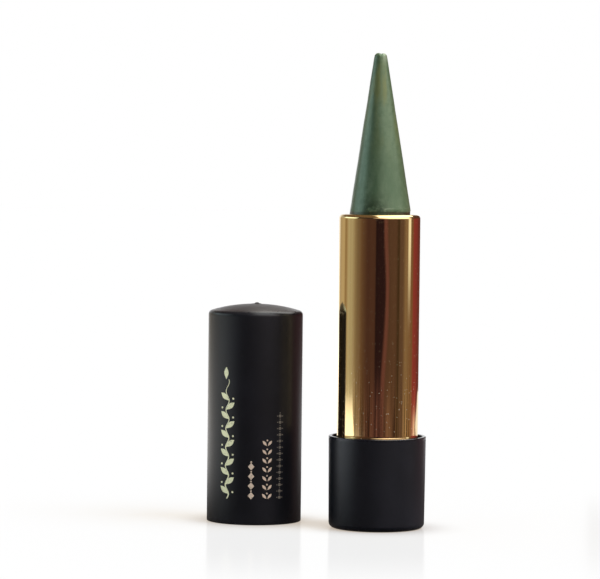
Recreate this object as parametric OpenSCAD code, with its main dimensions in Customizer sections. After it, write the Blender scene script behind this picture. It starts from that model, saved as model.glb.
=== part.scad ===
// Twist-up kohl stick: base, turning gold tube, kohl cone on a screw-driven cup, and a push-on cap.
// Millimetres. The origin is the centre of the base's foot, +Z points up along the stick.
// Shown with the kohl run fully out and the cap standing beside the stick on its open end.

/* [Kohl] */
// Diameter of the cone's foot
kohl_d = 9.3; // [8:0.1:12]
// Diameter of the cone's blunt tip
tip_d = 1.65; // [1.2:0.05:3]
// Rounding of the tip's edge
tip_round = 0.55; // [0.2:0.05:0.6]
// How far the tip lies below the tube's mouth when it is run in
tip_sunk = 1.2; // [0.6:0.1:3]
// How much slimmer the shank is than the cone's foot, on each side
shank_step = 0.09; // [0.05:0.01:0.2]
// Length of the shank that stands in the cup
shank_h = 10.3; // [7:0.1:14]

/* [Cup] */
// Wall of the cup
cup_wall = 0.33; // [0.25:0.01:0.5]
// Floor of the cup
cup_floor = 0.8; // [0.5:0.05:1.5]
// Gap between the shank and the cup's wall
shank_gap = 0.02; // [0.01:0.01:0.05]
// Diameter of the two drive lugs
lug_d = 1.1; // [0.8:0.05:1.4]
// Height of the lugs' centre over the cup's underside
lug_rise = 1.45; // [1:0.05:2.5]
// Gap between the end of a lug and the bottom of its groove
lug_end_gap = 0.08; // [0.05:0.01:0.12]

/* [Twist mechanism] */
// Travel of the cup between run in and run out
travel = 25.8; // [18:0.1:32]
// Rise of the cup for one full turn of the tube
lead = 12; // [8:0.5:16]
// Wall of the slotted inner tube
fork_wall = 0.36; // [0.3:0.01:0.5]
// Wall of the grooved sleeve
cam_wall = 0.54; // [0.48:0.01:0.8]
// Depth of the helical grooves
groove_depth = 0.31; // [0.25:0.01:0.35]
// Running gap between pieces that turn or slide on each other
running_gap = 0.05; // [0.03:0.01:0.08]
// Gap on each side of a lug in its slot
slot_side_gap = 0.075; // [0.04:0.005:0.1]
// Gap on each side of a lug in its groove
groove_side_gap = 0.06; // [0.04:0.01:0.1]
// Depth of the snap bead inside the sleeve's lower end
bead_depth = 0.22; // [0.15:0.01:0.26]
// Height of the snap bead
bead_h = 0.6; // [0.4:0.05:1]
// Thickening of the inner tube's foot, inwards, behind the snap groove
foot_thick = 0.45; // [0.35:0.01:0.7]
// Play at the ends of pieces that stop against each other
end_play = 0.1; // [0.05:0.01:0.15]

/* [Gold tube] */
// Wall of the tube
tube_wall = 0.33; // [0.28:0.01:0.5]
// Gap between the tube and the sleeve fixed inside it
tube_seat_gap = 0.02; // [0.01:0.01:0.05]
// Thickness of the rolled-in lip
lip_t = 0.45; // [0.35:0.05:0.8]
// Gap between the lip and the kohl
lip_gap = 0.1; // [0.06:0.01:0.15]
// Rounding of the mouth's outer corner
mouth_round = 0.55; // [0.3:0.05:0.7]
// Rounding of the lip's inner edge
lip_round = 0.15; // [0.05:0.05:0.2]

/* [Base] */
// Height of the base
base_h = 14.2; // [12:0.1:20]
// Wall of the base at its rim
base_wall = 0.54; // [0.45:0.01:1]
// Width of the well between the tube and the rim
well_gap = 0.7; // [0.4:0.05:1]
// Depth of the well
well_depth = 5.6; // [4:0.1:7]
// Floor of the base
base_floor = 1.3; // [1:0.05:2]
// How much slimmer the foot is than the rim, on each side
base_taper = 0.12; // [0:0.01:0.3]
// Rounding of the foot's corner
foot_round = 0.85; // [0.4:0.05:1.2]
// Rounding of the rim's edges
rim_round = 0.12; // [0.05:0.01:0.2]
// Margin between the label and the foot's rounded corner
label_margin = 1.3; // [0.8:0.1:2.5]
// Thickness of the label, let in flush
label_t = 0.12; // [0.08:0.01:0.2]

/* [Inner body's skirt] */
// Gap between the skirt and the base
skirt_gap = 0.02; // [0.01:0.01:0.04]
// Wall of the skirt
skirt_wall = 0.6; // [0.4:0.05:1]
// Thickness of the web that carries the slotted tube
web_t = 0.8; // [0.6:0.05:1.2]
// Number of stiffening ribs under the web
rib_count = 8; // [4:1:12]
// Thickness of a rib
rib_t = 0.5; // [0.4:0.05:0.8]

/* [Cap] */
// Wall of the cap at its gripping band
cap_wall = 1.08; // [0.8:0.02:1.5]
// Gap between the cap's gripping band and the tube
cap_gap = 0.05; // [0.02:0.01:0.08]
// Length of the gripping band
band_h = 6; // [3:0.1:9]
// How far the bore steps back above the band, on each side
cap_relief = 0.3; // [0.2:0.01:0.5]
// Lead-in at the cap's mouth
cap_lead_in = 0.35; // [0.2:0.05:0.6]
// Thickness of the cap's roof, measured upright
cap_roof = 1.15; // [0.8:0.05:2]
// Height of the domed top over its shoulder
dome_h = 1.05; // [0.6:0.05:2]
// Rounding of the shoulder
shoulder_round = 0.7; // [0.2:0.05:0.8]
// Rounding of the outer edge of the mouth
cap_edge = 0.12; // [0.05:0.01:0.3]
// Diameter of the moulding nub on the dome
nub_d = 0.75; // [0.5:0.05:1.2]
// Height of the nub over the dome
nub_h = 0.25; // [0.1:0.05:0.4]
// Width of the gold ring that shows between cap and base when closed
ring_shown = 2.4; // [1:0.1:5]

/* [Where the cap stands] */
// Clear distance between the cap and the base
cap_distance = 5.8; // [3:0.1:20]
// Bearing of the cap from the stick, counted from +X
cap_bearing = 157; // [0:1:360]

/* [Hidden] */
$fn = 96;
// Number of straight pieces in a quarter round of an outline
arc_steps = 6;
// Number of rings of the helical cutter in one turn
rings_per_turn = 30;
// How far a cutter runs past what it cuts
past = 0.3;

// Radii, from the kohl outwards
kohl_r = kohl_d / 2;
shank_r = kohl_r - shank_step;
cup_ir = shank_r + shank_gap;
cup_r = cup_ir + cup_wall;
fork_ir = cup_r + running_gap;
fork_r = fork_ir + fork_wall;
cam_ir = fork_r + running_gap;
cam_r = cam_ir + cam_wall;
groove_r = cam_ir + groove_depth;
lug_end_r = groove_r - lug_end_gap;
bead_ir = cam_ir - bead_depth;
snap_groove_r = bead_ir - running_gap;
foot_ir = fork_ir - foot_thick;
tube_ir = cam_r + tube_seat_gap;
tube_r = tube_ir + tube_wall;
lip_ir = kohl_r + lip_gap;
well_r = tube_r + well_gap;
base_r = well_r + base_wall;
foot_r = base_r - base_taper;
skirt_r = well_r - skirt_gap;
label_r = foot_r - foot_round - label_margin;
band_r = tube_r + cap_gap;
relief_r = band_r + cap_relief;
cap_r = band_r + cap_wall;

// Heights, from the base's foot upwards
web_z = base_h - well_depth;
cam_z = web_z + 4 * end_play;
bead_z = cam_z + 2 * end_play;
foot_top_z = bead_z + bead_h + 10 * end_play;
cup_low_z = foot_top_z + 2.5 * end_play;
lug_low_z = cup_low_z + lug_rise;
cup_z = cup_low_z + travel;
cup_top_z = cup_z + cup_floor + shank_h;
lug_z = cup_z + lug_rise;
lip_z = cup_top_z + end_play;
mouth_z = lip_z + lip_t;
cam_top_z = lip_z - 2.5 * end_play;
fork_top_z = lip_z - 4.5 * end_play;
tip_z = mouth_z + travel - tip_sunk;
cap_depth = mouth_z - base_h - ring_shown;

// The dome is part of a sphere, and the roof under it follows the same curve
dome_half = cap_r - shoulder_round / 2;
dome_r = (pow(dome_half, 2) + pow(dome_h, 2)) / (2 * dome_h);
dome_centre_z = cap_depth + cap_roof - sqrt(pow(dome_r, 2) - pow(relief_r, 2));
dome_z = dome_centre_z + dome_r;
dome_edge = acos((cap_r - shoulder_round) / dome_r);
shoulder_z = dome_centre_z + (dome_r - shoulder_round) * sin(dome_edge);

// A quarter round or less: points about a centre, from one bearing to another
function arc(cx, cz, r, from, to) =
    [for (i = [0:arc_steps]) let (a = from + (to - from) * i / arc_steps) [cx + r * cos(a), cz + r * sin(a)]];

// A ring or disc turned from an outline in radius and height
module turned(outline) {
    rotate_extrude() polygon(outline);
}

// A plain tube between two heights
module tube(outer, inner, low, high) {
    turned([[inner, low], [outer, low], [outer, high], [inner, high]]);
}

module base() {
    color([0.11, 0.11, 0.12])
    difference() {
        turned(concat(
            [[0, 0]],
            arc(foot_r - foot_round, foot_round, foot_round, -90, 0),
            arc(base_r - rim_round, base_h - rim_round, rim_round, 0, 90),
            arc(well_r + rim_round, base_h - rim_round, rim_round, 90, 180),
            [[well_r, base_floor], [0, base_floor]]
        ));
        translate([0, 0, -past]) cylinder(r = label_r, h = label_t + past);
    }
}

module shade_label() {
    color([0.82, 0.82, 0.80])
    cylinder(r = label_r, h = label_t);
}

module inner_body() {
    color([0.86, 0.86, 0.84])
    difference() {
        union() {
            tube(skirt_r, skirt_r - skirt_wall, base_floor, web_z);
            tube(skirt_r, foot_ir, web_z - web_t, web_z);
            tube(fork_r, foot_ir, web_z - web_t, foot_top_z);
            tube(fork_r, fork_ir, foot_top_z, fork_top_z);
            for (i = [0:rib_count - 1]) {
                rotate(i * 360 / rib_count)
                translate([foot_ir, -rib_t / 2, base_floor])
                cube([skirt_r - skirt_wall / 2 - foot_ir, rib_t, web_z - web_t / 2 - base_floor]);
            }
        }
        tube(fork_r + past, snap_groove_r, bead_z - end_play, bead_z + bead_h + end_play);
        translate([-fork_r - past, -lug_d / 2 - slot_side_gap, lug_low_z - lug_d / 2 - past])
        cube([2 * (fork_r + past), lug_d + 2 * slot_side_gap, fork_top_z - lug_low_z + lug_d / 2 + 2 * past]);
    }
}

// One helical groove's cutter, as rings of four points swept round and up
module groove_cutter(start) {
    // Slope of the groove at the lugs' ends, which widens it along the axis
    slope = atan(lead / (2 * PI * lug_end_r));
    half_h = (lug_d / 2 + groove_side_gap) / cos(slope);
    // The groove's low end leaves the lug room past its lowest place
    spare = (lug_d / 2 + groove_side_gap) / cam_ir * 180 / PI + 360 / rings_per_turn / 2;
    turn_low = -travel / lead * 360 - spare;
    turn_high = (cam_top_z + half_h + past - lug_z) / lead * 360;
    rings = ceil((turn_high - turn_low) / 360 * rings_per_turn);
    inner = cam_ir - past;
    section = [[inner, -half_h], [groove_r, -half_h], [groove_r, half_h], [inner, half_h]];
    points = [
        for (i = [0:rings])
        let (turn = turn_low + (turn_high - turn_low) * i / rings)
        for (p = section)
        [p[0] * cos(start + turn), p[0] * sin(start + turn), lug_z + turn / 360 * lead + p[1]]
    ];
    sides = [
        for (i = [0:rings - 1])
        for (k = [0:3])
        let (a = 4 * i + k, b = 4 * i + (k + 1) % 4)
        for (t = [[a, b, b + 4], [a, b + 4, a + 4]])
        t
    ];
    last = 4 * rings;
    caps = [[2, 1, 0], [3, 2, 0], [last, last + 1, last + 2], [last, last + 2, last + 3]];
    polyhedron(points, concat(sides, caps));
}

module cam_sleeve() {
    color([0.80, 0.80, 0.78])
    difference() {
        union() {
            tube(cam_r, cam_ir, cam_z, cam_top_z);
            tube(cam_r, bead_ir, bead_z, bead_z + bead_h);
        }
        groove_cutter(0);
        groove_cutter(180);
    }
}

module gold_tube() {
    color([0.83, 0.66, 0.36])
    turned(concat(
        [[tube_ir, cam_z], [tube_r, cam_z]],
        arc(tube_r - mouth_round, mouth_z - mouth_round, mouth_round, 0, 90),
        arc(lip_ir + lip_round, mouth_z - lip_round, lip_round, 90, 180),
        [[lip_ir, lip_z], [tube_ir, lip_z]]
    ));
}

module cup() {
    color([0.88, 0.88, 0.86])
    difference() {
        union() {
            translate([0, 0, cup_z]) cylinder(r = cup_r, h = cup_top_z - cup_z);
            translate([-lug_end_r, 0, lug_z])
            rotate([0, 90, 0])
            cylinder(d = lug_d, h = 2 * lug_end_r);
        }
        translate([0, 0, cup_z + cup_floor]) cylinder(r = cup_ir, h = cup_top_z - cup_z);
    }
}

module kohl_cone() {
    // Lean of the cone's side from upright
    lean = atan((kohl_r - tip_d / 2) / (tip_z - mouth_z));
    // Where the rounding's centre lies so that it meets the side and the flat tip
    round_x = tip_d / 2 - tip_round * tan((90 - lean) / 2);
    color([0.36, 0.45, 0.36])
    turned(concat(
        [[0, cup_z + cup_floor], [shank_r, cup_z + cup_floor], [shank_r, cup_top_z]],
        [[kohl_r, cup_top_z], [kohl_r, mouth_z]],
        arc(round_x, tip_z - tip_round, tip_round, lean, 90),
        [[0, tip_z]]
    ));
}

module cap() {
    distance = base_r + cap_distance + cap_r;
    roof_edge = acos(relief_r / dome_r);
    color([0.11, 0.11, 0.12])
    translate([distance * cos(cap_bearing), distance * sin(cap_bearing), 0]) {
        turned(concat(
            [[band_r + cap_lead_in, 0]],
            arc(cap_r - cap_edge, cap_edge, cap_edge, -90, 0),
            arc(cap_r - shoulder_round, shoulder_z, shoulder_round, 0, dome_edge),
            arc(0, dome_centre_z, dome_r, dome_edge, 90),
            arc(0, dome_centre_z - cap_roof, dome_r, 90, roof_edge),
            [[relief_r, band_h + cap_lead_in + cap_relief], [band_r, band_h + cap_lead_in]],
            [[band_r, cap_lead_in]]
        ));
        translate([0, 0, dome_z - nub_h]) cylinder(d = nub_d, h = 2 * nub_h);
    }
}

base();
shade_label();
inner_body();
gold_tube();
cam_sleeve();
cup();
kohl_cone();
cap();
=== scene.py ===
"""Twist-up kohl stick with its cap standing beside it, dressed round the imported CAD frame.

Sizes are in millimetres and become metres when a mesh is finished. +Z points up along the stick,
and the camera looks along +Y. Bearings are degrees from -Y, positive towards +X.
"""

import logging
import math
from collections.abc import Callable, Sequence
from dataclasses import dataclass, field, replace
from enum import Enum
from functools import partial, reduce

import bmesh
import bpy
from mathutils import Euler, Matrix, Vector, noise


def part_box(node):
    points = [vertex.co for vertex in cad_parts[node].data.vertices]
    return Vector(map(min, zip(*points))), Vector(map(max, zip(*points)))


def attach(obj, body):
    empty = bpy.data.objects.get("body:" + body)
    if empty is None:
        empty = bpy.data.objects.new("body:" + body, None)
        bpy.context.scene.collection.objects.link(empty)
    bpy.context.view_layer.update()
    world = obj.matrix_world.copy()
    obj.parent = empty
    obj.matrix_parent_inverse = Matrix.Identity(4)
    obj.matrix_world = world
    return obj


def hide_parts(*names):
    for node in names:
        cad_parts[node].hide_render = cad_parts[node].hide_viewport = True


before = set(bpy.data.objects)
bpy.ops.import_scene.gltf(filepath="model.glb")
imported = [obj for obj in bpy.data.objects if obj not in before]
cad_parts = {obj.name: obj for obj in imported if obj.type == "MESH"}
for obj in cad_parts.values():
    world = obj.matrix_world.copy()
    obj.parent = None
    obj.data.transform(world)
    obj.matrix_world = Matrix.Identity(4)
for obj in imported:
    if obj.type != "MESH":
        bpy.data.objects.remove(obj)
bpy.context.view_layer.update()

LOG = logging.getLogger("kohl_stick")
MM = 0.001
WELD = 0.0005  # millimetres within which two vertices of a turned piece are one
QUARTER = 90  # degrees

Triple = tuple[float, float, float]
Colour = Triple
Span = tuple[float, float]
Socket = bpy.types.NodeSocket
Inputs = dict[str | int, object]


def scaled(colour: Colour, factor: float) -> Colour:
    """A colour made lighter or darker by a factor."""
    return tuple(part * factor for part in colour)


def on_bearing(radius: float, bearing: float, height: float) -> Vector:
    """A point at a distance and bearing from the Z axis.

    Args:
        radius: Distance from the axis.
        bearing: Degrees from -Y, positive towards +X.
        height: Height.

    Returns:
        The point, in the units of radius and height.
    """
    angle = math.radians(bearing)
    return Vector((radius * math.sin(angle), -radius * math.cos(angle), height))


@dataclass(frozen=True)
class NodeSize:
    """The box of one CAD node, in millimetres."""

    low: Vector
    high: Vector

    @classmethod
    def of(cls, node: str) -> "NodeSize":
        """Reads a node's box from the frame.

        Args:
            node: The CAD node's name.

        Returns:
            Its box.
        """
        low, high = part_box(node)
        return cls(low / MM, high / MM)

    @property
    def radius(self) -> float:
        """Half of the node's width along X."""
        return (self.high.x - self.low.x) / 2

    @property
    def axis(self) -> Vector:
        """Where the node's upright middle line meets the ground."""
        return Vector(((self.low.x + self.high.x) / 2, (self.low.y + self.high.y) / 2, 0))


# Node trees


@dataclass(frozen=True)
class Grain:
    """A noise pattern: waves to a millimetre, detail, and the values that become zero and one."""

    scale: float
    detail: float
    low: float
    high: float
    roughness: float = 0.5


@dataclass(frozen=True)
class Specks:
    """Scattered dots: cells to a millimetre, a dot's radius in cells, and the share of cells with one."""

    scale: float
    size: float
    share: float


class NodeTree:
    """A node tree that is filled step by step."""

    def __init__(self, tree: bpy.types.NodeTree) -> None:
        """Starts from an empty tree.

        Args:
            tree: The tree to clear and fill.
        """
        self.tree = tree
        self.tree.nodes.clear()

    def add(self, kind: str, inputs: Inputs | None = None, **settings: object) -> bpy.types.Node:
        """Adds a node.

        Args:
            kind: Blender's name of the node type, without its "ShaderNode".
            inputs: Values or sockets for the node's inputs, by name or index.
            settings: The node's own settings.

        Returns:
            The node.
        """
        node = self.tree.nodes.new("ShaderNode" + kind)
        for name, value in settings.items():
            setattr(node, name, value)
        for key, value in (inputs or {}).items():
            if isinstance(value, Socket):
                self.tree.links.new(value, node.inputs[key])
            elif isinstance(value, tuple) and node.inputs[key].type == "RGBA":
                node.inputs[key].default_value = (*value, 1)
            else:
                node.inputs[key].default_value = value
        return node

    def math(self, operation: str, first: Socket | float, second: Socket | float = 0.0) -> Socket:
        """A Math node's result."""
        return self.add("Math", {0: first, 1: second}, operation=operation).outputs[0]

    def times(self, *values: Socket | float) -> Socket:
        """Some values multiplied in order."""
        return reduce(partial(self.math, "MULTIPLY"), values)

    def most(self, *values: Socket) -> Socket:
        """The greatest of some values."""
        return reduce(partial(self.math, "MAXIMUM"), values)

    def gap(self, value: Socket, mark: float) -> Socket:
        """How far a value lies from a mark, either way."""
        return self.math("ABSOLUTE", self.math("SUBTRACT", value, mark))

    def axes(self, vector: Socket) -> tuple[Socket, ...]:
        """The X, Y and Z of a vector."""
        return tuple(self.add("SeparateXYZ", {0: vector}).outputs)

    def length(self, vector: Socket) -> Socket:
        """The length of a vector."""
        return self.add("VectorMath", {0: vector}, operation="LENGTH").outputs["Value"]

    def ray(self, *kinds: str) -> Socket:
        """One for rays of the kinds that Light Path names so, and zero for others."""
        path = self.add("LightPath")
        return self.most(*(path.outputs[kind] for kind in kinds))

    def place(self, centre: Triple = (0, 0, 0), stretch: Triple = (1, 1, 1)) -> Socket:
        """Object coordinates in millimetres, counted from a centre.

        Args:
            centre: The centre, in millimetres.
            stretch: Further scale of each axis.

        Returns:
            The coordinates.
        """
        return self.add("Mapping", {
            "Vector": self.add("TexCoord").outputs["Object"],
            "Location": tuple(-c * s for c, s in zip(centre, stretch)),
            "Scale": tuple(s / MM for s in stretch),
        }).outputs[0]

    def noise(self, where: Socket, scale: float, detail: float = 2.0, roughness: float = 0.5) -> Socket:
        """Smooth noise with so many waves to a millimetre."""
        inputs = {"Vector": where, "Scale": scale, "Detail": detail, "Roughness": roughness}
        return self.add("TexNoise", inputs).outputs[0]

    def spread(self, value: Socket, low: float, high: float, to_low: float = 0, to_high: float = 1) -> Socket:
        """Maps a range of values onto another, smoothly and clamped."""
        inputs = {0: value, 1: low, 2: high, 3: to_low, 4: to_high}
        return self.add("MapRange", inputs, interpolation_type="SMOOTHSTEP").outputs[0]

    def grain(self, where: Socket, grain: Grain, to_low: float = 0, to_high: float = 1) -> Socket:
        """A noise pattern mapped onto a range."""
        waves = self.noise(where, grain.scale, grain.detail, grain.roughness)
        return self.spread(waves, grain.low, grain.high, to_low, to_high)

    def specks(self, where: Socket, *kinds: Specks) -> Socket:
        """Scattered dots.

        Args:
            where: Coordinates.
            kinds: The kinds of dots, laid over each other.

        Returns:
            One inside the dots, and zero outside.
        """
        masks = []
        for kind in kinds:
            cells = self.add("TexVoronoi", {"Vector": where, "Scale": kind.scale})
            chosen = self.add("SeparateColor", {0: cells.outputs["Color"]}).outputs[0]
            inside = self.spread(cells.outputs["Distance"], kind.size, kind.size * 0.5)
            masks.append(self.times(inside, self.math("LESS_THAN", chosen, kind.share)))
        return self.most(*masks)

    def blend(self, share: Socket | float, first: Socket | float, second: Socket | float) -> Socket:
        """Two numbers mixed by a share."""
        return self.add("Mix", {0: share, 2: first, 3: second}).outputs[0]

    def mix(self, share: Socket | float, first: Socket | Colour, second: Socket | Colour) -> Socket:
        """Two colours mixed by a share."""
        return self.add("Mix", {0: share, 6: first, 7: second}, data_type="RGBA").outputs[2]

    def bump(self, height: Socket, strength: float, depth: float) -> Socket:
        """A normal bent by a height of up to so many millimetres."""
        return self.add("Bump", {"Height": height, "Strength": strength, "Distance": depth * MM}).outputs[0]

    def end(self, kind: str, shader: Socket) -> None:
        """Ends the tree with an output node, OutputMaterial or OutputWorld."""
        self.add(kind, {"Surface": shader})


def new_material(name: str) -> tuple[bpy.types.Material, NodeTree]:
    """Makes an empty material.

    Args:
        name: Its name.

    Returns:
        The material and its tree.
    """
    material = bpy.data.materials.new(name)
    material.use_nodes = True
    return material, NodeTree(material.node_tree)


def surface(name: str, tree: NodeTree, material: bpy.types.Material, inputs: Inputs) -> bpy.types.Material:
    """Ends a material with a Principled shader.

    Args:
        name: The shader node's label.
        tree: The material's tree.
        material: The material.
        inputs: The shader's inputs.

    Returns:
        The material.
    """
    shader = tree.add("BsdfPrincipled", inputs)
    shader.label = name
    tree.end("OutputMaterial", shader.outputs[0])
    return material


# Finishes


@dataclass(frozen=True)
class SoftBlackMoulding:
    """Matte black moulding with a fine grain, a little dust and rims polished by handling."""

    name: str
    rims: tuple[float, ...]
    polished: float = -1.0
    colour: Colour = (0.0048, 0.0049, 0.0073)
    paler: float = 1.35
    dust: Colour = (0.026, 0.024, 0.022)
    sheen: Colour = (0.89, 0.94, 1.0)
    ior: float = 1.48
    roughness: float = 0.36
    rougher: Span = (-0.04, 0.05)
    rim_polish: float = 0.22
    face_roughness: float = 0.1
    clouds: Grain = Grain(0.22, 3, 0.35, 0.7)
    skin: Grain = Grain(9, 2, 0.3, 0.7)
    dots: tuple[Specks, ...] = (Specks(1.1, 0.11, 0.05), Specks(2.3, 0.12, 0.05))

    def material(self) -> bpy.types.Material:
        """Builds the material.

        Returns:
            The material.
        """
        material, tree = new_material(self.name)
        where = tree.place()
        height = tree.axes(where)[2]
        tone = tree.mix(tree.grain(where, self.clouds), self.colour, scaled(self.colour, self.paler))
        tone = tree.mix(tree.specks(where, *self.dots), tone, self.dust)
        worn = tree.times(tree.noise(where, 1.4, 4, 0.7), self.near_rims(tree, height), self.rim_polish)
        grainy = tree.grain(where, self.skin, *(self.roughness + more for more in self.rougher))
        rough = tree.math("SUBTRACT", grainy, worn)
        rough = tree.blend(self.rim_face(tree, height), rough, self.face_roughness)
        return surface("moulding", tree, material, {
            "Base Color": tone, "Roughness": rough, "Normal": tree.bump(tree.noise(where, 11), 0.12, 0.02),
            "IOR": self.ior, "Specular Tint": self.sheen,
        })

    def rim_face(self, tree: NodeTree, height: Socket) -> Socket:
        """Finds the moulding's level top face at the polished height.

        Args:
            tree: The material's tree.
            height: Height.

        Returns:
            One on the face.
        """
        upward = tree.axes(tree.add("NewGeometry").outputs["Normal"])[2]
        level = tree.spread(upward, 0.35, 0.75)
        return tree.times(level, tree.spread(tree.gap(height, self.polished), 0.3, 0.2))

    def near_rims(self, tree: NodeTree, height: Socket) -> Socket:
        """One at the heights of the piece's rims, fading out above and below."""
        return tree.most(*(tree.spread(tree.gap(height, rim), 0.7, 0.05) for rim in self.rims))


@dataclass(frozen=True)
class MirrorGold:
    """Mirror-bright gold anodised tube with dust, faint wiping marks and a slight draw ripple."""

    name: str = "mirror_gold"
    colour: Colour = (0.93, 0.715, 0.37)
    dust: Colour = (0.95, 0.85, 0.68)
    dusty_heights: Span = (38, 14)
    dust_cover: Span = (0.25, 0.8)
    dust_dulls: float = 0.6
    roughness: float = 0.07
    marks_roughness: float = 0.05
    dust_roughness: float = 0.35
    dots: tuple[Specks, ...] = (Specks(1.5, 0.12, 0.2), Specks(2.6, 0.17, 0.35))
    marks: Grain = Grain(7, 4, 0.56, 0.75, 0.7)

    def material(self) -> bpy.types.Material:
        """Builds the material.

        Returns:
            The material.
        """
        material, tree = new_material(self.name)
        where, drawn = tree.place(), tree.place(stretch=(1, 1, 0.04))
        cover = tree.spread(tree.axes(where)[2], *self.dusty_heights, *self.dust_cover)
        dots = tree.times(tree.specks(where, *self.dots), cover)
        film = tree.times(tree.grain(drawn, self.marks), self.marks_roughness)
        film = tree.math("ADD", film, self.roughness)
        return surface("gold", tree, material, {
            "Base Color": tree.mix(dots, self.colour, self.dust),
            "Metallic": tree.math("SUBTRACT", 1.0, tree.times(dots, self.dust_dulls)),
            "Roughness": tree.math("ADD", tree.times(dots, self.dust_roughness), film),
            "Normal": tree.bump(tree.noise(drawn, 0.5), 0.05, 0.02),
        })


@dataclass(frozen=True)
class WaxyKohl:
    """Green kohl: waxy, faintly pearly, with olive clouds, drag marks, smeared crumbs and painted contact
    shade at its foot, and a painted highlight on its tip.
    """

    foot: float
    tip: float
    name: str = "waxy_kohl"
    gloss: Colour = (0.74, 1.0, 0.86)
    colour: Colour = (0.069, 0.1, 0.056)
    olive: Colour = (0.1, 0.105, 0.032)
    deep: Colour = (0.034, 0.062, 0.029)
    # Pale smeared colour of the crumbs and pearl, also used for the painted highlight at the tip.
    smear_and_highlight: Colour = (0.26, 0.29, 0.21)
    # A darker patch near the foot, just left of the front.
    dark_patch: Colour = (0.012, 0.022, 0.009)
    # Painted contact shade at the kohl's foot, where it meets the lip.
    foot_contact_shade: Colour = (0.022, 0.018, 0.009)
    ior: float = 1.62
    roughness: Span = (0.3, 0.38)
    mottle_shows: float = 0.6
    clouds_show: float = 0.8
    pearl_shows: float = 0.35
    crumbs_show: float = 0.55
    # How strongly the painted highlight on the tip's right side shows.
    tip_glint_shows: float = 0.5
    streaks: Grain = Grain(0.35, 3, 0.4, 0.72)
    mottle: Grain = Grain(1.4, 5, 0.42, 0.66, 0.7)
    clouds: Grain = Grain(0.55, 3, 0.46, 0.62)
    pearl: Specks = Specks(5.5, 0.2, 0.1)
    crumbs: Grain = Grain(1.5, 4, 0.52, 0.62, 0.7)
    dark_patch_grain: Grain = Grain(1.0, 4, 0.3, 0.55, 0.7)
    skin: Grain = Grain(1.3, 3, 0.3, 0.7)

    def cast(self, tree: NodeTree, where: Socket, tall: Socket, height: Socket) -> Socket:
        """The cast kohl's own colour: streaks, mottling, olive clouds towards the tip, and pearl.

        Args:
            tree: The material's tree.
            where: Coordinates.
            tall: Coordinates drawn out upwards.
            height: Height.

        Returns:
            The colour.
        """
        tone = tree.mix(tree.grain(tall, self.streaks), self.colour, self.deep)
        tone = tree.mix(tree.times(tree.grain(where, self.mottle), self.mottle_shows), tone, self.deep)
        upper = tree.spread(height, self.foot + 6, self.tip - 3)
        clouds = tree.times(tree.grain(tall, self.clouds), upper, self.clouds_show)
        tone = tree.mix(clouds, tone, self.olive)
        return tree.mix(tree.times(tree.specks(where, self.pearl), self.pearl_shows), tone, self.smear_and_highlight)

    def used(self, tree: NodeTree, tone: Socket, where: Socket, across: Socket, height: Socket) -> Socket:
        """The marks of use and painted light: crumbs, painted contact shade and a darker patch at the foot,
        and a painted highlight on the tip's right side.

        Args:
            tree: The material's tree.
            tone: The colour so far.
            where: Coordinates.
            across: X.
            height: Height.

        Returns:
            The colour with the marks.
        """
        crumbs = tree.times(
            tree.spread(height, self.foot + 1.3, self.foot + 0.35), tree.spread(across, -2.5, 1.5),
            tree.grain(tree.place(stretch=(0.45, 0.45, 3)), self.crumbs), self.crumbs_show,
        )
        tone = tree.mix(crumbs, tone, self.smear_and_highlight)
        # Painted contact shade: a dark ring at the kohl's foot, where it meets the lip.
        tone = tree.mix(tree.spread(height, self.foot + 0.3, self.foot + 0.14), tone, self.foot_contact_shade)
        # A darker patch just left of the front, fading out upwards from the foot.
        dark_patch_share = tree.times(
            tree.spread(height, self.foot + 3.6, self.foot + 0.4),
            tree.spread(tree.gap(across, -1.0), 2.9, 0.8), tree.grain(where, self.dark_patch_grain),
        )
        tone = tree.mix(dark_patch_share, tone, self.dark_patch)
        # Painted highlight: the tip's right side is lightened towards the pale smeared colour.
        tip_glint = tree.spread(height, self.tip - 2.2, self.tip - 0.3)
        tip_glint = tree.times(tip_glint, tree.spread(across, 0, 0.35), self.tip_glint_shows)
        return tree.mix(tip_glint, tone, self.smear_and_highlight)

    def material(self) -> bpy.types.Material:
        """Builds the material.

        Returns:
            The material.
        """
        material, tree = new_material(self.name)
        where, tall = tree.place(), tree.place(stretch=(1, 1, 0.18))
        across, _, height = tree.axes(where)
        tone = self.used(tree, self.cast(tree, where, tall, height), where, across, height)
        dents = tree.math("ADD", tree.noise(where, 1.2, 4, 0.6), tree.times(tree.noise(tall, 5), 0.35))
        return surface("kohl", tree, material, {
            "Base Color": tone, "Roughness": tree.grain(where, self.skin, *self.roughness),
            "Normal": tree.bump(dents, 0.25, 0.06), "IOR": self.ior, "Specular Tint": self.gloss,
            "Coat Weight": 0.06, "Coat Roughness": 0.3,
        })


class FoilTone(Enum):
    """The tones of the hot-stamped foil, by name and colour."""

    BRIGHT = ("bright_foil", (1.0, 0.93, 0.6))
    WARM = ("warm_foil", (0.72, 0.56, 0.44))
    DULL = ("dull_foil", (0.19, 0.165, 0.14))


@dataclass(frozen=True)
class StampedFoil:
    """Hot-stamped foil with thin places where it took less well."""

    tone: FoilTone
    roughness: Span = (0.38, 0.5)
    thinned: float = 0.55
    thin: Grain = Grain(3.5, 3, 0.55, 0.75)
    skin: Grain = Grain(8, 2, 0.3, 0.7)

    def material(self) -> bpy.types.Material:
        """Builds the material.

        Returns:
            The material.
        """
        name, colour = self.tone.value
        material, tree = new_material(name)
        where = tree.place()
        return surface("foil", tree, material, {
            "Base Color": tree.mix(tree.grain(where, self.thin), colour, scaled(colour, self.thinned)),
            "Metallic": 0.2, "Roughness": tree.grain(where, self.skin, *self.roughness),
            "Normal": tree.bump(tree.noise(where, 12), 0.2, 0.01),
        })


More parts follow.
